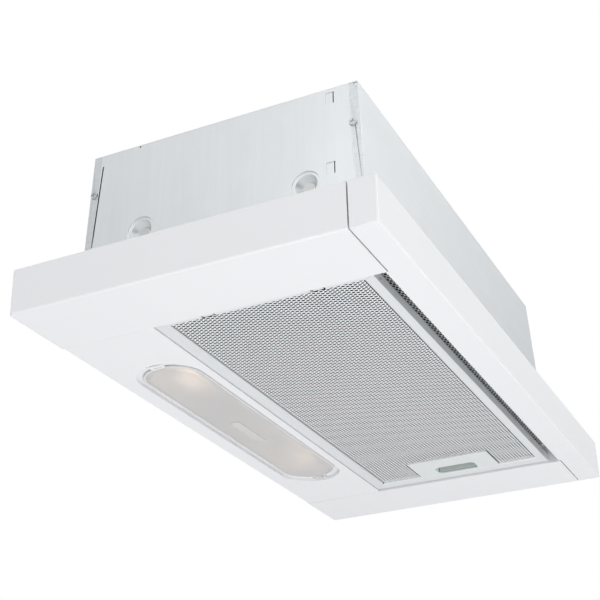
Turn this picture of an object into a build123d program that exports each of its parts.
from build123d import *
import math
import os

# Slide-out under-cabinet range hood, 60 cm class. Millimetres, X right, Y to the back, Z up.
# The origin is the middle of the underside. "Cap" means one of the two moulded side channels
# of the white frame, "visor" the white bar at the front that pulls the drawer out.

os.makedirs("parts", exist_ok=True)

# ---- Overall sizes -------------------------------------------------------------------------
hood_width = 598.0          # across the white frame
hood_depth = 302.0          # front of the closed visor to the back of the frame
frame_height = 38.5         # height of the white frame
casing_height = 136.5       # height of the metal casing above the frame
casing_taper = 5.0          # how far each casing wall leans in from bottom to top
cap_width = 70.5            # width of each side cap
visor_depth = 21.3          # front to back size of the visor
filter_bay_depth = 195.3    # front to back size of the opening for the grease filter

# ---- Walls and clearances ------------------------------------------------------------------
sheet = 1.0                 # galvanised casing sheet
wall = 2.5                  # moulded frame wall
visor_wall = 2.0            # visor wall
visor_gap = 1.2             # visor to caps
seam = 0.3                  # panel seam
filter_gap = 0.8            # grease filter to its opening
running = 0.05              # radial clearance of a pin or shaft in its bore
slide_gap = 0.6             # between the members of a drawer slide
edge_round = 1.5            # rounding of visible frame edges

# ---- Places derived from the sizes above ---------------------------------------------------
half_width = hood_width / 2
front_y = -hood_depth / 2
back_y = hood_depth / 2
visor_back_y = front_y + visor_depth
cap_front_y = visor_back_y + visor_gap
bay_half = half_width - cap_width
lamp_front_y = cap_front_y + filter_bay_depth
lamp_back_y = back_y - 2.0
filter_front_y = cap_front_y + 11.5
filter_back_y = lamp_front_y - filter_gap
cap_inner_x = bay_half + wall
casing_top_z = frame_height + casing_height
casing_front_setback = 34.0
casing_back_setback = 15.0
casing_front_y = front_y + casing_front_setback
casing_back_y = back_y - casing_back_setback
under_top_z = casing_top_z - sheet
lean = casing_taper / casing_height
lean_angle = math.atan(lean)

# ---- Screw sizes ---------------------------------------------------------------------------
screw_head_r = 3.2
screw_head_h = 1.8
screw_shank_r = 1.4
screw_hole_r = 1.5
cross_slot = 0.9


def finish(name, label):
    """Label a finished sub-part and write its STEP file."""
    name.part.label = label
    export_step(name.part, "parts/" + label + ".step")


def block(x0, x1, y0, y1, z0, z1, mode=Mode.ADD):
    """Add, cut or keep a box given by its lowest and highest corners."""
    with BuildSketch(Plane.XY.offset(z0)) as footprint:
        with Locations(((x0 + x1) / 2, (y0 + y1) / 2)):
            Rectangle(abs(x1 - x0), abs(y1 - y0))
    extrude(footprint.sketch, amount=z1 - z0, mode=mode)


def screw(plane, grip):
    """A pan-head screw whose head sits on the plane and whose shank goes into it."""
    with BuildSketch(plane) as head:
        Circle(screw_head_r)
    extrude(head.sketch, amount=screw_head_h)
    with BuildSketch(plane.offset(screw_head_h)) as cross:
        Rectangle(cross_slot, screw_head_r * 1.3)
        Rectangle(screw_head_r * 1.3, cross_slot)
    extrude(cross.sketch, amount=-screw_head_h * 0.55, mode=Mode.SUBTRACT)
    with BuildSketch(plane) as shank:
        Circle(screw_shank_r)
    extrude(shank.sketch, amount=-grip)


def casing_half_x(z):
    """Outer half width of the casing at a height."""
    return cap_inner_x - lean * (z - frame_height)


def casing_front(z):
    """Outer front of the casing at a height."""
    return casing_front_y + lean * (z - frame_height)


def casing_back(z):
    """Outer back of the casing at a height."""
    return casing_back_y - lean * (z - frame_height)


def casing_side_plane(side, z, depth=0.0):
    """A plane on a side wall, facing out, local y up the wall. side is -1 left, 1 right."""
    normal = (side * math.cos(lean_angle), 0, math.sin(lean_angle))
    origin = (side * (casing_half_x(z) - depth), 0, z)
    return Plane(origin=origin, x_dir=(0, side, 0), z_dir=normal)


def casing_front_plane(depth=0.0):
    """A plane on the front wall, facing out."""
    normal = (0, -math.cos(lean_angle), math.sin(lean_angle))
    return Plane(origin=(0, casing_front_y + depth, frame_height), x_dir=(1, 0, 0), z_dir=normal)


def casing_back_plane(depth=0.0):
    """A plane on the back wall, facing out."""
    normal = (0, math.cos(lean_angle), math.sin(lean_angle))
    return Plane(origin=(0, casing_back_y - depth, frame_height), x_dir=(-1, 0, 0), z_dir=normal)


def casing_solid():
    """The full tapered block of the casing, from the frame to the top."""
    sections = []
    for z in (frame_height, casing_top_z):
        with BuildSketch(Plane.XY.offset(z)) as section:
            with Locations((0, (casing_front(z) + casing_back(z)) / 2)):
                Rectangle(2 * casing_half_x(z), casing_back(z) - casing_front(z))
        sections.append(section.sketch)
    loft(sections=sections)


# ---- Casing: sides -------------------------------------------------------------------------
flange_width = 7.5
back_flange_width = 6.3
flange_screw_z = casing_top_z - 38.5
flange_screw_grip = 4.0
front_flange_screw_y = casing_front(flange_screw_z) + 5.8
back_flange_screw_y = casing_back(flange_screw_z) - 4.2
joggle_depth = 0.4
joggle_top_z = casing_top_z - 5.5
tab_width = 6.5
tab_height = 10.8
tab_slit = 1.1
tab_y = front_y + 60.0
tab_zs = (casing_top_z - 75.3, casing_top_z - 9.2)
boss_r = 12.0
boss_foot = 24.0
boss_depth = 1.2
boss_z = casing_top_z - 84.0
boss_ys = (front_y + 84.5, front_y + 232.0)
cup_r = 9.5
cup_floor_r = 5.0
cup_depth = 5.5
side_slit = 1.2
slit_high_z = casing_top_z - 11.0
slit_low_z = casing_top_z - 89.0
slit_high_y = casing_back(slit_high_z) - 9.4
slit_low_y = casing_back(slit_low_z) - 6.6
corner_relief = 3.5
top_notch_y = front_y + 237.0
top_notch = 1.4
tab_depth = 0.7
strip_chamfer = (4.0, 6.0)
head_room = 0.4
rivet_r = 4.6
rivet_shank_r = 2.0
rivet_head_h = 1.0
ear_ys = (casing_front_y + 27.0, casing_back_y - 74.0)
ear_half = 8.0
ear_low_z = 30.0
frame_screw_z = 34.4


def arch(plane, x, radius, depth, mode):
    """Press or fill an arch-shaped patch, round at the top and square at the bottom."""
    with BuildSketch(plane) as patch:
        with BuildLine():
            ThreePointArc((x - radius, 0), (x, radius), (x + radius, 0))
            Polyline((x + radius, 0), (x + radius, -boss_foot), (x - radius, -boss_foot), (x - radius, 0))
        make_face()
    extrude(patch.sketch, amount=-depth, mode=mode)


def make_side(side, label):
    """One side wall with its joggled edge, lanced tabs, pressed bosses and screw holes."""
    face = casing_side_plane(side, boss_z)
    cos_lean = math.cos(lean_angle)

    def on_face(y, z):
        return (side * y, (z - boss_z) / cos_lean)

    with BuildPart() as wall_part:
        casing_solid()
        split(bisect_by=casing_side_plane(side, frame_height, sheet), keep=Keep.TOP)
        split(bisect_by=Plane.XY.offset(under_top_z), keep=Keep.BOTTOM)
        for y in boss_ys:
            # pressed pad and cup, formed inwards
            arch(face.offset(-sheet / 2), side * y, boss_r + sheet, boss_depth + sheet / 2, Mode.ADD)
            with BuildSketch(face.offset(-boss_depth)):
                with Locations(on_face(y, boss_z)):
                    Circle(cup_r + sheet)
            with BuildSketch(face.offset(-boss_depth - cup_depth - sheet)):
                with Locations(on_face(y, boss_z)):
                    Circle(cup_floor_r + sheet)
            loft()
            arch(face, side * y, boss_r, boss_depth, Mode.SUBTRACT)
            with BuildSketch(face.offset(-boss_depth)):
                with Locations(on_face(y, boss_z)):
                    Circle(cup_r)
            with BuildSketch(face.offset(-boss_depth - cup_depth)):
                with Locations(on_face(y, boss_z)):
                    Circle(cup_floor_r)
            loft(mode=Mode.SUBTRACT)
            with BuildSketch(face):
                with Locations(on_face(y, boss_z)):
                    Circle(rivet_shank_r)
            extrude(amount=-boss_depth - cup_depth - 3 * sheet, mode=Mode.SUBTRACT)
        for z in tab_zs:
            # lanced tab: a shallow pressed patch behind a through slit
            with BuildSketch(face):
                with Locations(on_face(tab_y + tab_width / 2, z)):
                    Rectangle(tab_width, tab_height)
            extrude(amount=-tab_depth, mode=Mode.SUBTRACT)
            with BuildSketch(face):
                with Locations(on_face(tab_y, z)):
                    Rectangle(tab_slit, tab_height)
            extrude(amount=-3 * sheet, mode=Mode.SUBTRACT)
        # joggled front edge with a chamfered top
        z_low = frame_height
        y_low = casing_front(z_low)
        y_high = casing_front(joggle_top_z)
        with BuildSketch(face):
            with BuildLine():
                Polyline(
                    on_face(y_low - 2, z_low - 2),
                    on_face(y_low + flange_width + 1, z_low - 2),
                    on_face(y_high + flange_width, joggle_top_z - strip_chamfer[1]),
                    on_face(y_high + flange_width - strip_chamfer[0], joggle_top_z),
                    on_face(y_high - 2, joggle_top_z),
                    close=True,
                )
            make_face()
            with Locations(on_face(front_flange_screw_y, flange_screw_z)):
                Circle(screw_head_r + head_room)
        extrude(amount=-joggle_depth, mode=Mode.SUBTRACT)
        # long slit beside the back flange
        with BuildSketch(face):
            with BuildLine():
                Polyline(
                    on_face(slit_high_y - side_slit / 2, slit_high_z),
                    on_face(slit_high_y + side_slit / 2, slit_high_z),
                    on_face(slit_low_y + side_slit / 2, slit_low_z),
                    on_face(slit_low_y - side_slit / 2, slit_low_z),
                    close=True,
                )
            make_face()
        extrude(amount=-3 * sheet, mode=Mode.SUBTRACT)
        with BuildSketch(face):
            with Locations(on_face(front_flange_screw_y, flange_screw_z)):
                Circle(screw_hole_r)
            with Locations(on_face(back_flange_screw_y, flange_screw_z)):
                Circle(screw_hole_r)
        extrude(amount=-3 * sheet, mode=Mode.SUBTRACT)
        # ears bent down inside the bay, screwed to the cap
        for y in ear_ys:
            block(side * (bay_half - sheet), side * bay_half, y - ear_half, y + ear_half, ear_low_z,
                  frame_height + sheet)
            block(side * (bay_half - sheet), side * (cap_inner_x - sheet / 2), y - ear_half, y + ear_half,
                  frame_height, frame_height + sheet)
            with BuildSketch(Plane.YZ.offset(side * (bay_half - 2 * sheet))):
                with Locations((y, frame_screw_z)):
                    Circle(screw_hole_r)
            extrude(amount=side * 2.5 * sheet, mode=Mode.SUBTRACT)
        # small relief at the top front corner and a notch in the top edge
        relief_y = casing_front(casing_top_z)
        with BuildSketch(face):
            with Locations(on_face(relief_y, casing_top_z - sheet)):
                Rectangle(2 * corner_relief, 2 * corner_relief)
            with Locations(on_face(top_notch_y, casing_top_z - sheet)):
                Rectangle(top_notch, 2 * top_notch)
        extrude(amount=-3 * sheet, mode=Mode.SUBTRACT)
    finish(wall_part, label)


make_side(-1, "casing_side_left")
make_side(1, "casing_side_right")

# Flat rivet heads at the bottom of the pressed cups
with BuildPart() as cup_rivets:
    for side in (-1, 1):
        seat = casing_side_plane(side, boss_z, 0.0).offset(-boss_depth - cup_depth)
        for y in boss_ys:
            with BuildSketch(seat):
                with Locations((side * y, 0)):
                    Circle(rivet_r)
            extrude(amount=rivet_head_h)
            with BuildSketch(seat):
                with Locations((side * y, 0)):
                    Circle(rivet_shank_r)
            extrude(amount=-2 * sheet)
finish(cup_rivets, "cup_rivets")


def make_end_wall(plane_of, flange, screw_y, label):
    """The front or back wall: a sheet between the sides with two inward-lying side flanges."""
    with BuildPart() as hollow:
        casing_solid()
        split(bisect_by=plane_of(sheet), keep=Keep.BOTTOM)
        for side in (-1, 1):
            split(bisect_by=casing_side_plane(side, frame_height, 2 * sheet), keep=Keep.BOTTOM)
    with BuildPart() as wall_part:
        casing_solid()
        split(bisect_by=Plane.XY.offset(under_top_z), keep=Keep.BOTTOM)
        split(bisect_by=plane_of(flange), keep=Keep.TOP)
        for side in (-1, 1):
            split(bisect_by=casing_side_plane(side, frame_height, sheet), keep=Keep.BOTTOM)
        add(hollow.part, mode=Mode.SUBTRACT)
        for side in (-1, 1):
            face = casing_side_plane(side, flange_screw_z)
            with BuildSketch(face):
                with Locations((side * screw_y, 0)):
                    Circle(screw_hole_r)
            extrude(amount=-4 * sheet, mode=Mode.SUBTRACT)
    finish(wall_part, label)


make_end_wall(casing_front_plane, flange_width, front_flange_screw_y, "casing_front")
make_end_wall(casing_back_plane, back_flange_width, back_flange_screw_y, "casing_back")

# ---- Top panel, outlet collar and non-return flaps ------------------------------------------
outlet_y = 10.0
collar_r = 60.0
collar_wall = 1.5
collar_height = 35.0
collar_flange_r = collar_r + 12.0
collar_flange = 2.0
collar_screw_r = collar_r + 6.0
gland_x = 165.0
gland_y = 80.0
gland_r = 8.0
cord_r = 3.6
gland_below = 5.5
gland_length = 12.0
gland_rim = 3.0
gland_rim_height = 2.5
gland_nut_r = gland_r + 4.0
gland_nut_height = 4.0
gland_thread = 0.5
collar_inner_r = collar_r - collar_wall
stop_inset = 2.0
stop_width = 10.0
stop_height = 2.0
stop_gap = 0.4
scroll_half = 42.0
scroll_wall = 1.8
scroll_flange = 1.5
scroll_flange_width = 22.0
scroll_screw_x = scroll_half + scroll_wall + 17.7
scroll_screw_ys = (outlet_y - 22.0, outlet_y + 22.0)
collar_screw_angles = [45.0 + 90.0 * i for i in range(4)]
collar_screw_points = [
    (collar_screw_r * math.cos(math.radians(a)), outlet_y + collar_screw_r * math.sin(math.radians(a)))
    for a in collar_screw_angles
]

with BuildPart() as top_panel:
    casing_solid()
    split(bisect_by=Plane.XY.offset(under_top_z), keep=Keep.TOP)
    with BuildSketch(Plane.XY.offset(casing_top_z)):
        with Locations((0, outlet_y)):
            Circle(collar_inner_r)
        with Locations((gland_x, gland_y)):
            Circle(gland_r)
        with Locations(*collar_screw_points):
            Circle(screw_hole_r)
        for x in (-scroll_screw_x, scroll_screw_x):
            with Locations(*[(x, y) for y in scroll_screw_ys]):
                Circle(screw_hole_r)
    extrude(amount=-2 * sheet, mode=Mode.SUBTRACT)
finish(top_panel, "casing_top")

flap_pin_r = 1.5
flap_pin_z = casing_top_z + 9.0
flap_thick = 1.2
flap_gap = 1.5
flap_r = collar_inner_r - flap_gap
knuckle_r = 2.7
knuckle_gap = 0.5
knuckle_length = 12.0
knuckle_starts = (-44.0, 20.0)
knuckle_end_gap = 0.2

with BuildPart() as collar:
    with BuildSketch(Plane.XY.offset(casing_top_z)):
        with Locations((0, outlet_y)):
            Circle(collar_flange_r)
            Circle(collar_inner_r, mode=Mode.SUBTRACT)
        with Locations(*collar_screw_points):
            Circle(screw_hole_r, mode=Mode.SUBTRACT)
    extrude(amount=collar_flange)
    with BuildSketch(Plane.XY.offset(casing_top_z)):
        with Locations((0, outlet_y)):
            Circle(collar_r)
            Circle(collar_inner_r, mode=Mode.SUBTRACT)
    extrude(amount=collar_height)
    with BuildSketch(Plane.YZ.offset(-collar_r)):
        with Locations((outlet_y, flap_pin_z)):
            Circle(flap_pin_r)
    extrude(amount=2 * collar_r, mode=Mode.SUBTRACT)
    # stops under the closed flaps
    with BuildSketch(Plane.XY.offset(flap_pin_z - flap_thick - stop_gap)):
        stop_y = collar_inner_r - stop_inset
        with Locations((0, outlet_y - stop_y), (0, outlet_y + stop_y)):
            Rectangle(stop_width, 2 * stop_inset + collar_wall / 2)
    extrude(amount=-stop_height)
finish(collar, "outlet_collar")

with BuildPart() as flap_pin:
    with BuildSketch(Plane.YZ.offset(-collar_r)):
        with Locations((outlet_y, flap_pin_z)):
            Circle(flap_pin_r)
    extrude(amount=2 * collar_r)
finish(flap_pin, "flap_pin")


def make_flap(side, label):
    """Half-round non-return flap with two knuckles on the centre pin. side -1 front, 1 back."""
    own = [(x + knuckle_end_gap, x + knuckle_length - knuckle_end_gap) for x in knuckle_starts]
    other = [(-x1, -x0) for x0, x1 in own]
    if side > 0:
        own, other = other, own
    plate_edge = knuckle_r + knuckle_gap
    with BuildPart() as flap:
        with BuildSketch(Plane.XY.offset(flap_pin_z - flap_thick)):
            with Locations((0, outlet_y)):
                Circle(flap_r)
            with Locations((0, outlet_y - side * (flap_r - plate_edge))):
                Rectangle(2 * flap_r + 2, 2 * flap_r, mode=Mode.SUBTRACT)
        extrude(amount=flap_thick)
        for x0, x1 in own:
            with BuildSketch(Plane.YZ.offset(x0)):
                with Locations((outlet_y, flap_pin_z)):
                    Circle(knuckle_r)
                with Locations((outlet_y + side * plate_edge / 2 + side * 0.5, flap_pin_z - flap_thick / 2)):
                    Rectangle(plate_edge + 1.0, flap_thick)
            extrude(amount=x1 - x0)
        with BuildSketch(Plane.YZ.offset(-collar_r)):
            with Locations((outlet_y, flap_pin_z)):
                Circle(flap_pin_r + running)
        extrude(amount=2 * collar_r, mode=Mode.SUBTRACT)
    finish(flap, label)


make_flap(-1, "flap_front")
make_flap(1, "flap_back")

with BuildPart() as gland:
    with BuildSketch(Plane.XY.offset(casing_top_z - gland_below)):
        with Locations((gland_x, gland_y)):
            Circle(gland_r)
            Circle(cord_r, mode=Mode.SUBTRACT)
    extrude(amount=gland_length)
    with BuildSketch(Plane.XY.offset(casing_top_z)):
        with Locations((gland_x, gland_y)):
            Circle(gland_r + gland_rim)
            Circle(cord_r, mode=Mode.SUBTRACT)
    extrude(amount=gland_rim_height)
    with BuildSketch(Plane.XY.offset(under_top_z)):
        with Locations((gland_x, gland_y)):
            RegularPolygon(gland_nut_r, 6)
            Circle(gland_r - gland_thread, mode=Mode.SUBTRACT)
    extrude(amount=-gland_nut_height)
finish(gland, "cord_gland")

# ---- Blower: scroll housing, impeller, motor -------------------------------------------------
impeller_r = 46.0
impeller_half = scroll_half - 2.0
blade_count = 28
blade_depth = 9.0
shaft_r = 4.0
hub_r = shaft_r + 6.0
scroll_bottom_r = impeller_r + 13.0
scroll_outlet_r = impeller_r + 17.0
scroll_side_r = impeller_r + 8.0
scroll_tongue_r = impeller_r + 4.5
inlet_r = impeller_r - 9.0
inlet_ring = 5.0
inlet_ring_height = 3.0
fan_y = outlet_y - 26.5
fan_z = frame_height + scroll_bottom_r + 5.5
tongue_angle = 100.0
motor_r = 30.0
motor_length = 58.0
motor_gap = 14.0


def spiral(angle, shrink=0.0):
    """A point of the scroll outline at an angle in degrees, in the (y, z) plane."""
    known = (
        (tongue_angle, scroll_tongue_r),
        (180.0, scroll_side_r),
        (270.0, scroll_bottom_r),
        (360.0, scroll_outlet_r),
    )
    radius = scroll_outlet_r
    for (a0, r0), (a1, r1) in zip(known, known[1:]):
        if a0 <= angle <= a1:
            radius = r0 + (r1 - r0) * (angle - a0) / (a1 - a0)
            break
    radius -= shrink
    turn = math.radians(angle)
    return (fan_y + radius * math.cos(turn), fan_z + radius * math.sin(turn))


def scroll_outline(shrink, top_z):
    """Edges of the closed scroll outline, drawn in from the outside by shrink."""
    start = spiral(tongue_angle, shrink)
    mid = spiral(180.0, shrink)
    low = spiral(270.0, shrink)
    end = spiral(360.0, shrink)
    with BuildLine() as outline:
        ThreePointArc(start, spiral((tongue_angle + 180.0) / 2, shrink), mid)
        ThreePointArc(mid, spiral(225.0, shrink), low)
        ThreePointArc(low, spiral(315.0, shrink), end)
        Polyline(end, (end[0], top_z), (start[0], top_z), start)
    return outline.edges()


def make_scroll(side, label):
    """One half of the scroll housing, open at the outlet and at its inlet eye."""
    with BuildPart() as scroll:
        with BuildSketch(Plane.YZ):
            make_face(scroll_outline(0.0, under_top_z))
        extrude(amount=side * (scroll_half + scroll_wall))
        with BuildSketch(Plane.YZ):
            make_face(scroll_outline(scroll_wall, under_top_z + 5.0))
        extrude(amount=side * scroll_half, mode=Mode.SUBTRACT)
        with BuildSketch(Plane.YZ.offset(side * (scroll_half + scroll_wall))):
            with Locations((fan_y, fan_z)):
                Circle(inlet_r + inlet_ring)
        extrude(amount=side * inlet_ring_height)
        with BuildSketch(Plane.YZ):
            with Locations((fan_y, fan_z)):
                Circle(inlet_r)
        extrude(amount=side * (scroll_half + scroll_wall + inlet_ring_height + 1.0), mode=Mode.SUBTRACT)
        # fixing flange under the top panel
        root_x = side * (scroll_half + scroll_wall)
        block(root_x, root_x + side * scroll_flange_width, spiral(tongue_angle)[0], spiral(360.0)[0],
              under_top_z - scroll_flange, under_top_z)
        with BuildSketch(Plane.XY.offset(under_top_z)):
            with Locations(*[(side * scroll_screw_x, y) for y in scroll_screw_ys]):
                Circle(screw_hole_r)
        extrude(amount=-2 * scroll_flange, mode=Mode.SUBTRACT)
    finish(scroll, label)


make_scroll(-1, "scroll_left")
make_scroll(1, "scroll_right")

# Screws of the collar from above and of the scroll flanges from below
with BuildPart() as outlet_screws:
    for x, y in collar_screw_points:
        screw(Plane(origin=(x, y, casing_top_z + collar_flange), z_dir=(0, 0, 1)), collar_flange + 3 * sheet)
    for x in (-scroll_screw_x, scroll_screw_x):
        for y in scroll_screw_ys:
            seat = (x, y, under_top_z - scroll_flange)
            screw(Plane(origin=seat, x_dir=(1, 0, 0), z_dir=(0, 0, -1)), scroll_flange + sheet)
finish(outlet_screws, "outlet_screws")

guard_x = scroll_half + scroll_wall + inlet_ring_height
guard_sheet = 2.0
guard_ring_rs = (10.0, 19.0, 28.0)
guard_wire = 1.6
guard_spoke = 1.8
guard_overlap = 1.0

with BuildPart() as inlet_guard:
    with BuildSketch(Plane.YZ.offset(guard_x)):
        with Locations((fan_y, fan_z)):
            Circle(inlet_r + inlet_ring)
            Circle(inlet_r - guard_overlap, mode=Mode.SUBTRACT)
            for r in guard_ring_rs:
                Circle(r + guard_wire / 2)
                Circle(r - guard_wire / 2, mode=Mode.SUBTRACT)
            with PolarLocations(0, 3, start_angle=30):
                with Locations((inlet_r / 2, 0)):
                    Rectangle(inlet_r, guard_spoke)
    extrude(amount=guard_sheet)
finish(inlet_guard, "inlet_guard")

ring_sheet = 2.0
disc_half = 1.0
hub_half = 12.0
blade_sheet = 1.3
blade_lean = 28.0
blade_mid_r = impeller_r - blade_depth / 2 - 0.3

# Pressed blade strips, held between the end rings and the middle disc
with BuildPart() as blades:
    for x0, x1 in ((-impeller_half + ring_sheet, -disc_half), (disc_half, impeller_half - ring_sheet)):
        with BuildSketch(Plane.YZ.offset(x0)):
            with Locations((fan_y, fan_z)):
                with PolarLocations(blade_mid_r, blade_count):
                    Rectangle(blade_depth, blade_sheet, rotation=blade_lean)
        extrude(amount=x1 - x0)
finish(blades, "impeller_blades")

with BuildPart() as rings:
    for x0 in (-impeller_half, impeller_half - ring_sheet):
        with BuildSketch(Plane.YZ.offset(x0)):
            with Locations((fan_y, fan_z)):
                Circle(impeller_r)
                Circle(impeller_r - blade_depth + 1.5, mode=Mode.SUBTRACT)
        extrude(amount=ring_sheet)
finish(rings, "impeller_rings")

with BuildPart() as disc:
    with BuildSketch(Plane.YZ.offset(-disc_half)):
        with Locations((fan_y, fan_z)):
            Circle(impeller_r)
    extrude(amount=2 * disc_half)
    with BuildSketch(Plane.YZ.offset(-hub_half)):
        with Locations((fan_y, fan_z)):
            Circle(hub_r)
    extrude(amount=2 * hub_half)
    with BuildSketch(Plane.YZ.offset(-hub_half)):
        with Locations((fan_y, fan_z)):
            Circle(shaft_r)
    extrude(amount=2 * hub_half, mode=Mode.SUBTRACT)
finish(disc, "impeller_disc")

shaft_in_motor = 22.0
shaft_past_hub = 8.0
motor_face_x = -(scroll_half + scroll_wall + motor_gap)
motor_nose_r = 14.0
motor_nose = 5.0
fin_count = 5
fin_pitch = 7.0
fin_first = 14.0
fin_gap = 3.0
fin_depth = 2.0
shaft_end_gap = 1.0

with BuildPart() as shaft:
    with BuildSketch(Plane.YZ.offset(motor_face_x - shaft_in_motor)):
        with Locations((fan_y, fan_z)):
            Circle(shaft_r)
    extrude(amount=-motor_face_x + shaft_in_motor + hub_half + shaft_past_hub)
finish(shaft, "fan_shaft")

with BuildPart() as motor:
    with BuildSketch(Plane.YZ.offset(motor_face_x)):
        with Locations((fan_y, fan_z)):
            Circle(motor_r)
    extrude(amount=-motor_length)
    with BuildSketch(Plane.YZ.offset(motor_face_x)):
        with Locations((fan_y, fan_z)):
            Circle(motor_nose_r)
    extrude(amount=motor_nose)
    for i in range(fin_count):
        with BuildSketch(Plane.YZ.offset(motor_face_x - fin_first - fin_pitch * i)):
            with Locations((fan_y, fan_z)):
                Circle(motor_r + 1)
                Circle(motor_r - fin_depth, mode=Mode.SUBTRACT)
        extrude(amount=-fin_gap, mode=Mode.SUBTRACT)
    with BuildSketch(Plane.YZ.offset(motor_face_x + motor_nose)):
        with Locations((fan_y, fan_z)):
            Circle(shaft_r + running)
    extrude(amount=-motor_nose - shaft_in_motor - shaft_end_gap, mode=Mode.SUBTRACT)
finish(motor, "motor")

# Three-legged motor bracket from the left inlet ring
bracket_leg = 7.0
bracket_reach = 10.5
bracket_ring = 2.0
bracket_hold = 12.0
leg_start_x = -(scroll_half + scroll_wall + inlet_ring_height)

with BuildPart() as motor_bracket:
    with BuildSketch(Plane.YZ.offset(leg_start_x)):
        with Locations((fan_y, fan_z)):
            Circle(inlet_r + inlet_ring)
            Circle(inlet_r, mode=Mode.SUBTRACT)
    extrude(amount=-bracket_ring)
    with BuildSketch(Plane.YZ.offset(leg_start_x)):
        with Locations((fan_y, fan_z)):
            with PolarLocations(motor_r + bracket_reach / 2 + 0.25, 3, start_angle=90):
                Rectangle(bracket_reach, bracket_leg)
            Circle(motor_r, mode=Mode.SUBTRACT)
    extrude(amount=motor_face_x - leg_start_x - bracket_hold)
finish(motor_bracket, "motor_bracket")

# ---- Electrics ----------------------------------------------------------------------------
box_wall = 1.6
terminal_half_x = 30.0
terminal_half_y = 20.0
terminal_depth = 26.0
terminal_y = gland_y
terminal_top_z = under_top_z - 6.0
terminal_foot = 8.0
lid_overhang = 1.0
lid_sheet = 2.0
cord_clear = 0.6
block_half_x = 20.0
block_half_y = 8.0
block_height = 12.0
terminal_well_r = 1.9
terminal_well_depth = 6.0
terminal_pitch = (12.0, 9.0)

with BuildPart() as terminal_box:
    block(gland_x - terminal_half_x, gland_x + terminal_half_x, terminal_y - terminal_half_y,
          terminal_y + terminal_half_y, terminal_top_z - terminal_depth, terminal_top_z)
    block(gland_x - terminal_half_x + box_wall, gland_x + terminal_half_x - box_wall,
          terminal_y - terminal_half_y + box_wall, terminal_y + terminal_half_y - box_wall,
          terminal_top_z - terminal_depth - 1.0, terminal_top_z - box_wall, mode=Mode.SUBTRACT)
    # feet up to the top panel
    for x in (gland_x - terminal_half_x, gland_x + terminal_half_x - terminal_foot):
        block(x, x + terminal_foot, terminal_y - terminal_half_y, terminal_y + terminal_half_y,
              terminal_top_z, under_top_z)
    with BuildSketch(Plane.XY.offset(terminal_top_z + 1.0)):
        with Locations((gland_x, gland_y)):
            Circle(cord_r + cord_clear)
    extrude(amount=-box_wall - 2.0, mode=Mode.SUBTRACT)
finish(terminal_box, "terminal_box")

with BuildPart() as terminal_lid:
    lid_half_x = terminal_half_x + lid_overhang
    lid_half_y = terminal_half_y + lid_overhang
    block(gland_x - lid_half_x, gland_x + lid_half_x, terminal_y - lid_half_y, terminal_y + lid_half_y,
          terminal_top_z - terminal_depth - lid_sheet, terminal_top_z - terminal_depth)
finish(terminal_lid, "terminal_box_lid")

with BuildPart() as terminal_block:
    block_top_z = terminal_top_z - box_wall
    block(gland_x - block_half_x, gland_x + block_half_x, terminal_y - block_half_y,
          terminal_y + block_half_y, block_top_z - block_height, block_top_z)
    with BuildSketch(Plane.XY.offset(block_top_z - block_height)):
        with Locations((gland_x, terminal_y)):
            with GridLocations(*terminal_pitch, 3, 2):
                Circle(terminal_well_r)
    extrude(amount=terminal_well_depth, mode=Mode.SUBTRACT)
    with BuildSketch(Plane.XY.offset(terminal_top_z + 1.0)):
        with Locations((gland_x, gland_y)):
            Circle(cord_r + cord_clear)
    extrude(amount=-box_wall - block_height - 2.0, mode=Mode.SUBTRACT)
finish(terminal_block, "terminal_block")

capacitor_r = 14.0
capacitor_length = 52.0
capacitor_x = 120.0
capacitor_back_y = fan_y - 3.5
capacitor_z = under_top_z - capacitor_r - 1.5
capacitor_round = 1.5
blade_terminal = (0.9, 6.0)
blade_terminal_length = 7.0
blade_terminal_x = 5.0

with BuildPart() as capacitor:
    with BuildSketch(Plane.XZ.offset(-capacitor_back_y)):
        with Locations((capacitor_x, capacitor_z)):
            Circle(capacitor_r)
    extrude(amount=capacitor_length)
    fillet(capacitor.edges().filter_by(GeomType.CIRCLE), radius=capacitor_round)
    with BuildSketch(Plane.XZ.offset(-capacitor_back_y + capacitor_length)):
        with Locations(*[(capacitor_x + side * blade_terminal_x, capacitor_z) for side in (-1, 1)]):
            Rectangle(*blade_terminal)
    extrude(amount=blade_terminal_length)
finish(capacitor, "capacitor")

clip_width = 14.0
clip_sheet = 1.2
clip_foot = 7.0
with BuildPart() as capacitor_clip:
    with BuildSketch(Plane.XZ.offset(-capacitor_back_y + (capacitor_length - clip_width) / 2)):
        with Locations((capacitor_x, capacitor_z)):
            Circle(capacitor_r + clip_sheet)
        with Locations((capacitor_x, (capacitor_z + under_top_z) / 2)):
            Rectangle(2 * (capacitor_r + clip_foot), under_top_z - capacitor_z)
        with Locations((capacitor_x, (capacitor_z + under_top_z) / 2 - clip_sheet)):
            Rectangle(2 * (capacitor_r + clip_foot) + 4.0, under_top_z - capacitor_z, mode=Mode.SUBTRACT)
        with Locations((capacitor_x, capacitor_z)):
            Circle(capacitor_r + clip_sheet)
            Circle(capacitor_r, mode=Mode.SUBTRACT)
        with Locations((capacitor_x, under_top_z + capacitor_r / 2)):
            Rectangle(4 * capacitor_r, capacitor_r, mode=Mode.SUBTRACT)
    extrude(amount=clip_width)
finish(capacitor_clip, "capacitor_clip")

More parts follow.
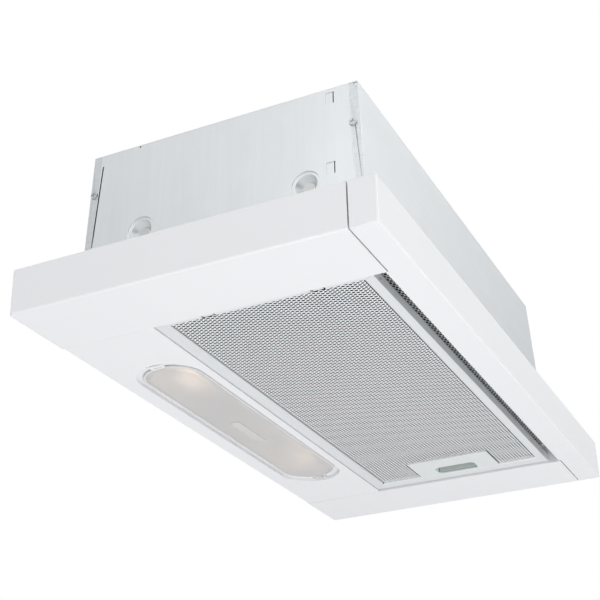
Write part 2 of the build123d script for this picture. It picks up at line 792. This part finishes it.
# ---- White frame: side caps ------------------------------------------------------------------
cap_corner = 4.0
cabinet_screw_x = half_width - wall - 8.5
cabinet_screw_r = 2.25
cabinet_screw_pitch = 190.0
cabinet_screw_mid_y = 10.0
latch_y = filter_front_y + 88.0
latch_tongue_half = 9.0
latch_slot_z = (3.4, 7.4)
latch_slot_clear = 1.0
slide_z = 20.0
slide_height = 24.0
slide_sheet = 1.2
slide_screw_ys = (cap_front_y + 28.5, cap_front_y + 106.5, cap_front_y + 178.5)
panel_screw_ys = (lamp_front_y + 15.2, lamp_back_y - 15.0)
panel_screw_z = 12.0


def is_outer_rim(centre):
    """True for the cap edges that show: outer side, back and the corner between them."""
    return abs(centre.X) > bay_half + 1 and centre.Y > cap_front_y + 1


def make_cap(side, label):
    """Hollow side channel of the white frame, open to the front for the drawer wing."""
    with BuildPart() as cap:
        block(side * bay_half, side * half_width, cap_front_y, back_y, 0.0, frame_height)
        corner = cap.edges().filter_by(Axis.Z).group_by(Axis.Y)[-1].sort_by(Axis.X)
        fillet(corner[0 if side < 0 else -1], radius=cap_corner)
        rims = cap.faces().filter_by(Axis.Z).edges()
        fillet(rims.filter_by(lambda e: is_outer_rim(e.center())), radius=edge_round)
        block(side * cap_inner_x, side * (half_width - wall), cap_front_y - 1.0, back_y - wall,
              wall, frame_height - wall, mode=Mode.SUBTRACT)
        # cabinet screw holes in the top wall
        with BuildSketch(Plane.XY.offset(frame_height + 1.0)):
            for y in (-1, 1):
                with Locations((side * cabinet_screw_x, cabinet_screw_mid_y + y * cabinet_screw_pitch / 2)):
                    Circle(cabinet_screw_r)
        extrude(amount=-wall - 2.0, mode=Mode.SUBTRACT)
        # screw holes for the drawer slide
        with BuildSketch(Plane.YZ.offset(side * (bay_half - 1.0))):
            for y in slide_screw_ys:
                with Locations((y, slide_z)):
                    Circle(screw_hole_r)
            for y in ear_ys:
                with Locations((y, frame_screw_z)):
                    Circle(screw_hole_r)
            for y in panel_screw_ys:
                with Locations((y, panel_screw_z)):
                    Circle(screw_hole_r)
        extrude(amount=side * (wall + 2.0), mode=Mode.SUBTRACT)
        if side > 0:
            slot_half = latch_tongue_half + latch_slot_clear
            block(bay_half - 1.0, cap_inner_x + 1.0, latch_y - slot_half, latch_y + slot_half, *latch_slot_z,
                  mode=Mode.SUBTRACT)
    finish(cap, label)


make_cap(-1, "cap_left")
make_cap(1, "cap_right")

# ---- Drawer: visor, chassis plate, wings, slides and its own mesh filter ----------------------
visor_lip_low = 8.0
visor_lip_high = 6.0
chassis_plate = 2.0
wing_inner_x = cap_inner_x + 12.6
wing_width = 34.0
wing_z = (6.0, 30.0)
wing_wall = 1.8
wing_round = 1.2
wing_back_y = cap_front_y + 198.5
chassis_screw_xs = (99.0 - half_width, -75.0, 75.0, half_width - 99.0)
chassis_screw_z = 29.0
chassis_screw_grip = 7.0
chassis_gap = 0.2
pillar_half = 5.0

with BuildPart() as visor:
    block(-half_width, half_width, front_y, visor_back_y, 0.0, frame_height)
    fillet(visor.edges().filter_by(Axis.X).group_by(Axis.Y)[0], radius=edge_round)
    fillet(visor.edges().filter_by(Axis.Z).group_by(Axis.Y)[0], radius=edge_round)
    block(-half_width + visor_wall, half_width - visor_wall, front_y + visor_wall,
          visor_back_y - chassis_plate, visor_wall, frame_height - visor_wall, mode=Mode.SUBTRACT)
    block(-half_width + visor_wall, half_width - visor_wall, visor_back_y - chassis_plate - 1.0,
          visor_back_y + 1.0, visor_lip_low, frame_height - visor_lip_high, mode=Mode.SUBTRACT)
    # pillars that take the chassis screws
    for x in chassis_screw_xs:
        block(x - pillar_half, x + pillar_half, front_y + visor_wall, visor_back_y - chassis_plate,
              visor_wall, frame_height - visor_wall)
    with BuildSketch(Plane.XZ.offset(-visor_back_y)):
        with Locations(*[(x, chassis_screw_z) for x in chassis_screw_xs]):
            Circle(screw_shank_r)
    extrude(amount=chassis_screw_grip, mode=Mode.SUBTRACT)
finish(visor, "visor")

with BuildPart() as chassis:
    block(-half_width + visor_wall + chassis_gap, half_width - visor_wall - chassis_gap,
          visor_back_y - chassis_plate, visor_back_y, visor_lip_low + chassis_gap,
          frame_height - visor_lip_high - chassis_gap)
    with BuildSketch(Plane.XZ.offset(-visor_back_y)):
        with Locations(*[(x, chassis_screw_z) for x in chassis_screw_xs]):
            Circle(screw_hole_r)
    extrude(amount=chassis_plate + 1.0, mode=Mode.SUBTRACT)
finish(chassis, "drawer_chassis")

# ---- Drawer slides ----------------------------------------------------------------------------
outer_front_y = cap_front_y + 4.0
outer_back_y = back_y - wall - 20.0
middle_front_y = outer_front_y + 2.0
middle_back_y = outer_back_y - 6.0
inner_back_y = wing_back_y - 6.0
outer_reach = 10.0
middle_x = cap_inner_x + slide_sheet + slide_gap + 0.2
middle_reach = 8.8
inner_reach = 8.6


def channel(side, web_x, reach, half_height, y0, y1, opening):
    """A C-section along Y. reach is its width from the web, opening is 1 out from the hood, -1 in."""
    tip_x = web_x + opening * reach
    block(side * web_x, side * tip_x, y0, y1, slide_z - half_height, slide_z + half_height)
    block(side * (web_x + opening * slide_sheet), side * (tip_x + opening), y0 - 1.0, y1 + 1.0,
          slide_z - half_height + slide_sheet, slide_z + half_height - slide_sheet, mode=Mode.SUBTRACT)


outer_half = slide_height / 2
middle_half = outer_half - slide_sheet - slide_gap
inner_half = middle_half - slide_sheet - slide_gap

for side, hand in ((-1, "left"), (1, "right")):
    with BuildPart() as outer_member:
        channel(side, cap_inner_x, outer_reach, outer_half, outer_front_y, outer_back_y, 1)
        with BuildSketch(Plane.YZ.offset(side * (cap_inner_x - 1.0))):
            for y in slide_screw_ys:
                with Locations((y, slide_z)):
                    Circle(screw_hole_r)
        extrude(amount=side * (slide_sheet + 2.0), mode=Mode.SUBTRACT)
    finish(outer_member, "slide_outer_" + hand)
    with BuildPart() as middle_member:
        channel(side, middle_x, middle_reach, middle_half, middle_front_y, middle_back_y, 1)
    finish(middle_member, "slide_middle_" + hand)
    with BuildPart() as inner_member:
        channel(side, wing_inner_x, inner_reach, inner_half, visor_back_y, inner_back_y, -1)
    finish(inner_member, "slide_inner_" + hand)

# Screws of the outer members, flat heads inside the bay wall
slide_head_r = 2.8
slide_head_h = 0.9
with BuildPart() as slide_screws:
    for side in (-1, 1):
        for y in slide_screw_ys:
            with BuildSketch(Plane.YZ.offset(side * (bay_half - slide_head_h))):
                with Locations((y, slide_z)):
                    Circle(slide_head_r)
            extrude(amount=side * slide_head_h)
            with BuildSketch(Plane.YZ.offset(side * bay_half)):
                with Locations((y, slide_z)):
                    Circle(screw_shank_r)
            extrude(amount=side * (wall + slide_sheet))
finish(slide_screws, "slide_screws")

# Wings with the control slots in the right one
control_x = wing_inner_x + wing_width / 2
light_y = visor_back_y + 22.0
speed_y = visor_back_y + 56.0
light_travel = 6.0
speed_travel = 14.0
knob_stem = 3.4
knob_length = 9.0
slot_clear = 0.4
slot_width = knob_stem + 2 * slot_clear


def make_wing(side, label):
    """Drawer wing, a trough open at the top, with control slots on the right-hand one."""
    with BuildPart() as wing:
        block(side * wing_inner_x, side * (wing_inner_x + wing_width), visor_back_y, wing_back_y,
              wing_z[0], wing_z[1])
        outer = wing.edges().filter_by(Axis.Y).filter_by(lambda e: abs(e.center().X) > wing_inner_x + 1)
        fillet(outer, radius=wing_round)
        block(side * (wing_inner_x + wing_wall), side * (wing_inner_x + wing_width - wing_wall),
              visor_back_y + wing_wall, wing_back_y - wing_wall, wing_z[0] + wing_wall, wing_z[1] + 1.0,
              mode=Mode.SUBTRACT)
        if side > 0:
            for y, travel in ((light_y, light_travel), (speed_y, speed_travel)):
                block(control_x - slot_width / 2, control_x + slot_width / 2, y - slot_clear,
                      y + knob_stem + travel + slot_clear, wing_z[0] - 1.0, wing_z[0] + wing_wall + 1.0,
                      mode=Mode.SUBTRACT)
    finish(wing, label)


make_wing(-1, "wing_left")
make_wing(1, "wing_right")

knob_gap = 0.35
knob_cap_z = (3.0, wing_z[0] - knob_gap)
knob_cap_half = 5.0
knob_cap_overlap = 2.4
knob_round = 1.2
rib_pitch = 2.4
rib_width = 0.9
rib_depth = 0.6
plate_half = 4.5
plate_overlap = 1.5
plate_sheet = 1.4
plate_low_z = wing_z[0] + wing_wall + knob_gap
plate_z = (plate_low_z, plate_low_z + plate_sheet)


def make_knob(y, travel, label):
    """Slider knob: ribbed cap under the wing, stem through the slot, wide plate above it."""
    back_reach = travel + plate_overlap
    with BuildPart() as knob:
        block(control_x - knob_cap_half, control_x + knob_cap_half, y - knob_cap_overlap,
              y + knob_stem + knob_cap_overlap, *knob_cap_z)
        fillet(knob.edges().filter_by(Axis.Z), radius=knob_round)
        for i in (-1, 0, 1):
            rib_y = y + knob_stem / 2 + i * rib_pitch
            block(control_x - knob_cap_half - 1.0, control_x + knob_cap_half + 1.0, rib_y - rib_width / 2,
                  rib_y + rib_width / 2, knob_cap_z[0] - 1.0, knob_cap_z[0] + rib_depth, mode=Mode.SUBTRACT)
        block(control_x - knob_stem / 2, control_x + knob_stem / 2, y, y + knob_stem,
              knob_cap_z[1], plate_z[0])
        block(control_x - plate_half, control_x + plate_half, y - plate_overlap, y + knob_stem + back_reach,
              *plate_z)
    finish(knob, label)


make_knob(light_y, light_travel, "light_knob")
make_knob(speed_y, speed_travel, "speed_knob")

switch_z = (plate_z[1] + 0.6, wing_z[1] - 1.0)
switch_front = 8.0
switch_back = 14.0
tag_pitch = (8.0, 12.0)
tag_size = (0.8, 5.0)
tag_height = 4.0
with BuildPart() as switch_box:
    switch_ys = (light_y - switch_front, speed_y + speed_travel + switch_back)
    block(wing_inner_x + wing_wall, wing_inner_x + wing_width - wing_wall, *switch_ys, *switch_z)
    with BuildSketch(Plane.XY.offset(switch_z[1])):
        with Locations((control_x, (switch_ys[0] + switch_ys[1]) / 2)):
            with GridLocations(*tag_pitch, 2, 5):
                Rectangle(*tag_size)
    extrude(amount=tag_height)
finish(switch_box, "switch_box")

# Microswitch in the right cap that the wing's back end works
microswitch_half = 5.0
microswitch_length = 20.0
microswitch_top_z = 20.0
microswitch_y = wing_back_y + 6.0
plunger_r = 1.8
plunger_z = 14.0
plunger_reach = 5.2
with BuildPart() as microswitch:
    block(control_x - microswitch_half, control_x + microswitch_half, microswitch_y,
          microswitch_y + microswitch_length, wall, microswitch_top_z)
    with BuildSketch(Plane.XZ.offset(-microswitch_y)):
        with Locations((control_x, plunger_z)):
            Circle(plunger_r)
    extrude(amount=plunger_reach)
finish(microswitch, "microswitch")

# Mesh filter of the drawer, in a folded sheet frame fixed behind the chassis plate
tray_half = bay_half - 12.0
tray_back_y = cap_front_y + 178.5
tray_rail = 7.0
tray_z = (14.0, 24.0)
tray_frame_sheet = 1.0
mesh_pad = 4.0
with BuildPart() as tray_frame:
    block(-tray_half, tray_half, visor_back_y, tray_back_y, *tray_z)
    block(-tray_half + tray_rail, tray_half - tray_rail, visor_back_y + tray_frame_sheet,
          tray_back_y - tray_rail, tray_z[0] - 1.0, tray_z[1] + 1.0, mode=Mode.SUBTRACT)
    block(-tray_half + tray_frame_sheet, tray_half - tray_frame_sheet, visor_back_y + tray_frame_sheet,
          tray_back_y - tray_frame_sheet, tray_z[0] + tray_frame_sheet, tray_z[1] - tray_frame_sheet,
          mode=Mode.SUBTRACT)
finish(tray_frame, "drawer_filter_frame")

with BuildPart() as tray_mesh:
    block(-tray_half + tray_frame_sheet, tray_half - tray_frame_sheet, visor_back_y + tray_frame_sheet,
          tray_back_y - tray_frame_sheet, tray_z[0] + tray_frame_sheet,
          tray_z[0] + tray_frame_sheet + mesh_pad)
finish(tray_mesh, "drawer_filter_mesh")

with BuildPart() as chassis_screws:
    for x in chassis_screw_xs:
        seat = (x, visor_back_y, chassis_screw_z)
        screw(Plane(origin=seat, x_dir=(1, 0, 0), z_dir=(0, 1, 0)), chassis_screw_grip)
finish(chassis_screws, "chassis_screws")

# ---- Back rail that closes the frame behind the lamp panel -------------------------------------
flange_up = 20.0
panel_half = bay_half - seam
panel_flange = 2.0
rail_overlap = 3.0
with BuildPart() as back_rail:
    block(-panel_half, panel_half, lamp_back_y - panel_flange, lamp_back_y, flange_up + seam, frame_height)
    block(-panel_half, panel_half, casing_back_y - rail_overlap, lamp_back_y, frame_height - sheet,
          frame_height)
finish(back_rail, "back_rail")

# ---- Grease filter with its handle plate, latch and hinge ---------------------------------------
filter_z = (1.0, 9.0)
filter_half = bay_half - filter_gap
rail_left = 6.0
rail_right = 16.2
rail_front = 9.4
rail_back = 10.5
rail_bevel = 1.5
mesh_left_x = -filter_half + rail_left
mesh_right_x = filter_half - rail_right
mesh_front_y = filter_front_y + rail_front
mesh_back_y = filter_back_y - rail_back
end_step_x = filter_half - 5.2
end_step = 1.2
mitre_width = 0.4
mitre_depth = 0.3
key_hole_x = -filter_half + 13.0
key_hole_size = 3.4
key_hole_low_z = 3.6
rail_edge = 1.0
hinge_x = -filter_half + 3.3
hinge_z = 3.2
hinge_pin_r = 1.0
hinge_ring_r = 2.0
hinge_ys = (filter_front_y + 45.0, filter_front_y + 137.0)
notch_half = 6.0
pin_grip = 3.0
notch_top_z = 6.5
bracket_half = 4.0
bracket_foot = 0.5
bracket_foot_height = 4.8
bracket_rise = 0.6
latch_bar_z = (3.8, 7.0)
latch_clear = 0.35
handle_x0 = mesh_right_x - 43.5
handle_half = 41.5
handle_sheet = 1.4
finger_x = (mesh_right_x - 21.0, mesh_right_x - 2.4)
finger_half = 21.0
finger_round = 4.5
handle_edge = 0.5
cup_wall = 1.2
cup_low_z = filter_z[0] + 0.6
cup_top_z = 8.4
pull_x = mesh_right_x - 4.6
pull_width = 2.2
pull_end_gap = 0.6
pull_top_z = latch_bar_z[1] - 0.2
latch_tip_gap = 0.4
latch_tip_chamfer = 1.2

with BuildPart() as filter_frame:
    block(-filter_half, filter_half, filter_front_y, filter_back_y, *filter_z)
    low_left = filter_frame.edges().filter_by(Axis.Y).sort_by(lambda e: e.center().X + e.center().Z)[0]
    chamfer(low_left, length=rail_edge)
    block(mesh_left_x, mesh_right_x, mesh_front_y, mesh_back_y, filter_z[0] - 1.0, filter_z[1] + 1.0,
          mode=Mode.SUBTRACT)
    inner_low = filter_frame.faces().sort_by(Axis.Z)[0].inner_wires()[0].edges()
    chamfer(inner_low, length=rail_bevel)
    block(end_step_x, filter_half + 1.0, filter_front_y - 1.0, filter_back_y + 1.0, filter_z[0] - 1.0,
          filter_z[0] + end_step, mode=Mode.SUBTRACT)
    corner_pairs = (
        ((-filter_half, filter_front_y), (mesh_left_x, mesh_front_y)),
        ((-filter_half, filter_back_y), (mesh_left_x, mesh_back_y)),
        ((end_step_x, filter_front_y), (mesh_right_x, mesh_front_y)),
        ((end_step_x, filter_back_y), (mesh_right_x, mesh_back_y)),
    )
    for outer_corner, inner_corner in corner_pairs:
        with BuildSketch(Plane.XY.offset(filter_z[0])):
            with BuildLine():
                Line(outer_corner, inner_corner)
            trace(line_width=mitre_width)
        extrude(amount=mitre_depth, mode=Mode.SUBTRACT)
    # key hole in the front side near the left end
    block(key_hole_x, key_hole_x + key_hole_size, filter_front_y - 1.0, filter_front_y + key_hole_size,
          key_hole_low_z, key_hole_low_z + key_hole_size, mode=Mode.SUBTRACT)
    for y in hinge_ys:
        block(-filter_half - 1.0, mesh_left_x + 1.0, y - notch_half, y + notch_half, filter_z[0] - 1.0,
              notch_top_z, mode=Mode.SUBTRACT)
        with BuildSketch(Plane.XZ.offset(-(y - notch_half - pin_grip))):
            with Locations((hinge_x, hinge_z)):
                Circle(hinge_pin_r)
        extrude(amount=-2 * (notch_half + pin_grip), mode=Mode.SUBTRACT)
    # passage of the latch bar through the right rail
    block(mesh_right_x - 1.0, filter_half + 1.0, latch_y - latch_tongue_half - latch_clear,
          latch_y + latch_tongue_half + latch_clear, latch_bar_z[0] - latch_clear,
          latch_bar_z[1] + latch_clear, mode=Mode.SUBTRACT)
finish(filter_frame, "grease_filter_frame")

filter_mesh_z = (3.0, 8.2)
mesh_seat = 0.1
with BuildPart() as filter_mesh:
    block(mesh_left_x + mesh_seat, mesh_right_x - mesh_seat, mesh_front_y + mesh_seat,
          mesh_back_y - mesh_seat, *filter_mesh_z)
    block(finger_x[0] - cup_wall - mesh_seat, mesh_right_x + 1.0,
          latch_y - finger_half - cup_wall - mesh_seat, latch_y + finger_half + cup_wall + mesh_seat,
          filter_mesh_z[0] - 1.0, filter_mesh_z[1] + 1.0, mode=Mode.SUBTRACT)
finish(filter_mesh, "grease_filter_mesh")

with BuildPart() as handle:
    block(handle_x0, mesh_right_x - mesh_seat, latch_y - handle_half, latch_y + handle_half, filter_z[0],
          filter_z[0] + handle_sheet)
    chamfer(handle.faces().sort_by(Axis.Z)[0].edges(), length=handle_edge)
    block(finger_x[0] - cup_wall, mesh_right_x - mesh_seat, latch_y - finger_half - cup_wall,
          latch_y + finger_half + cup_wall, cup_low_z, cup_top_z)
    finger_mid_x = (finger_x[0] + finger_x[1]) / 2
    with BuildSketch(Plane.XY.offset(filter_z[0] - 1.0)):
        with Locations((finger_mid_x, latch_y)):
            RectangleRounded(finger_x[1] - finger_x[0], 2 * finger_half, finger_round)
    extrude(amount=handle_sheet + 1.4, mode=Mode.SUBTRACT)
    # hollow cup behind the finger slot, where the latch pull moves
    block(finger_x[0], mesh_right_x - cup_wall, latch_y - finger_half, latch_y + finger_half,
          filter_z[0] + handle_sheet, cup_top_z - cup_wall, mode=Mode.SUBTRACT)
    block(mesh_right_x - 2.0, mesh_right_x + 1.0, latch_y - latch_tongue_half - latch_clear,
          latch_y + latch_tongue_half + latch_clear, latch_bar_z[0] - latch_clear,
          cup_top_z - cup_wall, mode=Mode.SUBTRACT)
finish(handle, "filter_handle")

with BuildPart() as latch:
    block(pull_x + pull_width / 2, bay_half - latch_tip_gap, latch_y - latch_tongue_half,
          latch_y + latch_tongue_half, latch_bar_z[0], pull_top_z)
    pull_half = finger_half - pull_end_gap
    block(pull_x, pull_x + pull_width, latch_y - pull_half, latch_y + pull_half,
          filter_z[0] + handle_sheet + latch_clear, pull_top_z)
    tip = latch.edges().filter_by(Axis.Y).group_by(Axis.X)[-1].sort_by(Axis.Z)[-1]
    chamfer(tip, length=latch_tip_chamfer)
finish(latch, "filter_latch")

with BuildPart() as hinge_pins:
    for y in hinge_ys:
        with BuildSketch(Plane.XZ.offset(-(y - notch_half - pin_grip))):
            with Locations((hinge_x, hinge_z)):
                Circle(hinge_pin_r)
        extrude(amount=-2 * (notch_half + pin_grip))
finish(hinge_pins, "filter_hinge_pins")

with BuildPart() as hinge_brackets:
    for y in hinge_ys:
        with BuildSketch(Plane.XZ.offset(-(y - bracket_half))):
            with Locations((hinge_x, hinge_z)):
                Circle(hinge_ring_r)
            with Locations(((-bay_half + hinge_x) / 2, hinge_z + bracket_rise)):
                Rectangle(hinge_x + bay_half, 2 * (hinge_ring_r - bracket_rise))
            with Locations((-bay_half + bracket_foot / 2, hinge_z + bracket_rise)):
                Rectangle(bracket_foot, bracket_foot_height)
            with Locations((hinge_x, hinge_z)):
                Circle(hinge_pin_r + running, mode=Mode.SUBTRACT)
        extrude(amount=-2 * bracket_half)
finish(hinge_brackets, "filter_hinge_brackets")

# ---- Lamp panel, lens, catch, reflector, lampholders and bulbs ----------------------------------
lens_y = lamp_front_y + 37.7
recess_length = 330.0
recess_width = 60.0
recess_depth = 3.4
recess_floor = 2.0
light_length = 300.0
light_width = 42.0
lens_length = 314.0
lens_width = 54.5
lens_flange_z = (2.0, 3.2)
lens_low_z = 0.5
lens_dome_inset = 3.0
lens_slope = 3.0
lens_sheet = 1.2
lens_hinge_x = lens_length / 2 + 2.6
lens_hinge_z = 2.0
lens_pin_r = 1.1
lens_tab_half = 4.0
lug_gap = 0.6
lug_width = 2.5
catch_half = 6.7
catch_travel = 2.0
catch_x = (-recess_length / 2 + 1.4, -lens_length / 2 - 0.4)
catch_z = (0.7, 3.0)
catch_stem_half = 3.0
catch_stem_x = (-recess_length / 2 + 3.2, -recess_length / 2 + 5.4)
recess_rim = 3.0
catch_end_room = 0.8
catch_side_room = 0.5
stem_room = 0.4
lug_x = (lens_hinge_x - 1.9, lens_hinge_x + 2.2)
lug_low_z = lens_hinge_z - 1.4
lens_pin_half = lens_tab_half + lug_gap + lug_width
lens_tab_overlap = 1.5
pad_x = 6.0
pad_y = lens_y + 2.5
pad_size = (54.0, 9.0)
pad_round = 1.5
pad_height = 0.3
catch_round = 1.0
catch_groove_x = (catch_x[1] - 2.6, catch_x[1] - 1.2)
catch_groove_half = 4.0
catch_groove_depth = 1.0
catch_plate_gap = 0.4
catch_plate_sheet = 1.2
catch_plate_reach = (1.0, 2.0)

with BuildPart() as lamp_panel:
    block(-panel_half, panel_half, lamp_front_y, lamp_back_y, 0.0, wall)
    block(-panel_half, panel_half, lamp_front_y, lamp_front_y + panel_flange, 0.0, flange_up)
    block(-panel_half, panel_half, lamp_back_y - panel_flange, lamp_back_y, 0.0, flange_up)
    for side in (-1, 1):
        block(side * (panel_half - panel_flange), side * panel_half, lamp_front_y, lamp_back_y, 0.0,
              flange_up)
    with BuildSketch(Plane.XY.offset(wall)):
        with Locations((0, lens_y)):
            SlotOverall(recess_length + 2 * recess_rim, recess_width + 2 * recess_rim)
    extrude(amount=recess_depth + recess_floor - wall)
    with BuildSketch(Plane.XY):
        with Locations((0, lens_y)):
            SlotOverall(recess_length, recess_width)
    extrude(amount=recess_depth, mode=Mode.SUBTRACT)
    with BuildSketch(Plane.XY):
        with Locations((0, lens_y)):
            SlotOverall(light_length, light_width)
    extrude(amount=recess_depth + recess_floor, mode=Mode.SUBTRACT)
    # side room for the catch, and its stem slot
    room_half = catch_half + catch_side_room
    block(catch_x[0] - catch_travel - catch_end_room, catch_x[0] + catch_travel, lens_y - room_half,
          lens_y + room_half, -1.0, recess_depth, mode=Mode.SUBTRACT)
    slot_half = catch_stem_half + stem_room
    block(catch_stem_x[0] - catch_travel - stem_room, catch_stem_x[1] + stem_room, lens_y - slot_half,
          lens_y + slot_half, recess_depth - 1.0, recess_depth + recess_floor + 1.0, mode=Mode.SUBTRACT)
    # hinge lugs for the lens
    for side in (-1, 1):
        y0 = lens_y + side * (lens_tab_half + lug_gap)
        block(*lug_x, y0, y0 + side * lug_width, lug_low_z, recess_depth + 0.1)
    with BuildSketch(Plane.XZ.offset(-(lens_y + lens_pin_half + 1.0))):
        with Locations((lens_hinge_x, lens_hinge_z)):
            Circle(lens_pin_r + running)
    extrude(amount=2 * (lens_pin_half + 1.0), mode=Mode.SUBTRACT)
    # screw holes in the side flanges
    with BuildSketch(Plane.YZ.offset(-half_width)):
        with Locations(*[(y, panel_screw_z) for y in panel_screw_ys]):
            Circle(screw_hole_r)
    extrude(amount=2 * half_width, mode=Mode.SUBTRACT)
finish(lamp_panel, "lamp_panel")

# Casing screws: the joggled corners, the ears inside the bay and the sides of the lamp panel
with BuildPart() as casing_screws:
    for side in (-1, 1):
        face = casing_side_plane(side, flange_screw_z)
        for y, sunk in ((front_flange_screw_y, joggle_depth), (back_flange_screw_y, 0.0)):
            seat = face.from_local_coords(Vector(side * y, 0, -sunk))
            screw(Plane(origin=seat, x_dir=face.x_dir, z_dir=face.z_dir), flange_screw_grip)
        for y in panel_screw_ys:
            seat = (side * (panel_half - panel_flange), y, panel_screw_z)
            screw(Plane(origin=seat, x_dir=(0, 1, 0), z_dir=(-side, 0, 0)), panel_flange + seam + wall)
        for y in ear_ys:
            seat = (side * (bay_half - sheet), y, frame_screw_z)
            screw(Plane(origin=seat, x_dir=(0, 1, 0), z_dir=(-side, 0, 0)), sheet + wall)
finish(casing_screws, "casing_screws")

with BuildPart() as lens:
    with BuildSketch(Plane.XY.offset(lens_flange_z[0])):
        with Locations((0, lens_y)):
            SlotOverall(lens_length, lens_width)
    extrude(amount=lens_flange_z[1] - lens_flange_z[0])
    for z, inset in ((lens_flange_z[0], lens_dome_inset), (lens_low_z, lens_dome_inset + lens_slope)):
        with BuildSketch(Plane.XY.offset(z)):
            with Locations((0, lens_y)):
                SlotOverall(lens_length - 2 * inset, lens_width - 2 * inset)
    loft()
    for z, inset in ((lens_flange_z[1], lens_dome_inset + lens_sheet),
                     (lens_low_z + lens_sheet, lens_dome_inset + lens_slope + lens_sheet)):
        with BuildSketch(Plane.XY.offset(z)):
            with Locations((0, lens_y)):
                SlotOverall(lens_length - 2 * inset, lens_width - 2 * inset)
    loft(mode=Mode.SUBTRACT)
    block(lens_length / 2 - lens_tab_overlap, lens_hinge_x, lens_y - lens_tab_half, lens_y + lens_tab_half,
          lens_hinge_z - lens_pin_r, lens_flange_z[1] - 0.1)
    with BuildSketch(Plane.XZ.offset(-(lens_y - lens_pin_half))):
        with Locations((lens_hinge_x, lens_hinge_z)):
            Circle(lens_pin_r)
    extrude(amount=-2 * lens_pin_half)
    # plain raised pad in the middle
    with BuildSketch(Plane.XY.offset(lens_low_z)):
        with Locations((pad_x, pad_y)):
            RectangleRounded(*pad_size, pad_round)
    extrude(amount=-pad_height)
finish(lens, "lamp_lens")

with BuildPart() as catch:
    block(catch_x[0], catch_x[1], lens_y - catch_half, lens_y + catch_half, *catch_z)
    fillet(catch.edges().filter_by(Axis.Z), radius=catch_round)
    block(*catch_groove_x, lens_y - catch_groove_half, lens_y + catch_groove_half, catch_z[0] - 1.0,
          catch_z[0] + catch_groove_depth, mode=Mode.SUBTRACT)
    catch_plate_z = recess_depth + recess_floor + catch_plate_gap
    block(*catch_stem_x, lens_y - catch_stem_half, lens_y + catch_stem_half, catch_z[1], catch_plate_z)
    block(catch_stem_x[0] - catch_plate_reach[0], catch_stem_x[1] + catch_plate_reach[0],
          lens_y - catch_stem_half - catch_plate_reach[1], lens_y + catch_stem_half + catch_plate_reach[1],
          catch_plate_z, catch_plate_z + catch_plate_sheet)
finish(catch, "lens_catch")

reflector_base_z = recess_depth + recess_floor
reflector_top_z = 36.5
reflector_sheet = 0.8
reflector_length = 312.0
reflector_width = 56.0
lamp_z = 21.0
with BuildPart() as reflector:
    with BuildSketch(Plane.XY.offset(reflector_base_z)):
        with Locations((0, lens_y)):
            SlotOverall(reflector_length, reflector_width)
    extrude(amount=reflector_top_z - reflector_base_z)
    with BuildSketch(Plane.XY.offset(reflector_base_z)):
        with Locations((0, lens_y)):
            SlotOverall(reflector_length - 2 * reflector_sheet, reflector_width - 2 * reflector_sheet)
    extrude(amount=reflector_top_z - reflector_base_z - reflector_sheet, mode=Mode.SUBTRACT)
finish(reflector, "lamp_reflector")

holder_r = 11.0
holder_bore_r = 7.0
holder_x = (127.0, 152.0)
bulb_r = 13.0
bulb_tip_x = 50.0
holder_foot_x = 6.0
holder_foot_half = 6.0
bulb_seat = 14.0
bulb_base_r = holder_bore_r - 0.1
bulb_shoulder = 21.0
bulb_taper = 22.0
bulb_taper_r = bulb_r - 4.0
with BuildPart() as holders:
    for side in (-1, 1):
        with BuildSketch(Plane.YZ.offset(side * holder_x[0])):
            with Locations((lens_y, lamp_z)):
                Circle(holder_r)
        extrude(amount=side * (holder_x[1] - holder_x[0]))
        block(side * (holder_x[0] + holder_foot_x), side * holder_x[1], lens_y - holder_foot_half,
              lens_y + holder_foot_half, lamp_z, reflector_top_z - reflector_sheet)
        with BuildSketch(Plane.YZ.offset(side * holder_x[0])):
            with Locations((lens_y, lamp_z)):
                Circle(holder_bore_r)
        extrude(amount=side * bulb_seat, mode=Mode.SUBTRACT)
finish(holders, "lampholders")

# Candle bulbs, one in each holder
bulb_base_x = holder_x[0] + bulb_seat - 1.0
bulb_neck_x = holder_x[0] - 1.0
with BuildPart() as bulbs:
    for side in (-1, 1):
        with BuildSketch(Plane(origin=(0, lens_y, lamp_z), x_dir=(side, 0, 0), z_dir=(0, -side, 0))):
            with BuildLine():
                Line((bulb_base_x, 0), (bulb_base_x, bulb_base_r))
                Line((bulb_base_x, bulb_base_r), (bulb_neck_x, bulb_base_r))
                Spline(
                    (bulb_neck_x, bulb_base_r),
                    (bulb_neck_x - bulb_shoulder, bulb_r),
                    (bulb_tip_x + bulb_taper, bulb_taper_r),
                    (bulb_tip_x, 0),
                    tangents=((-1, 0.6), (-0.6, -1)),
                )
                Line((bulb_tip_x, 0), (bulb_base_x, 0))
            make_face()
        revolve(axis=Axis((0, lens_y, lamp_z), (1, 0, 0)))
finish(bulbs, "bulbs")
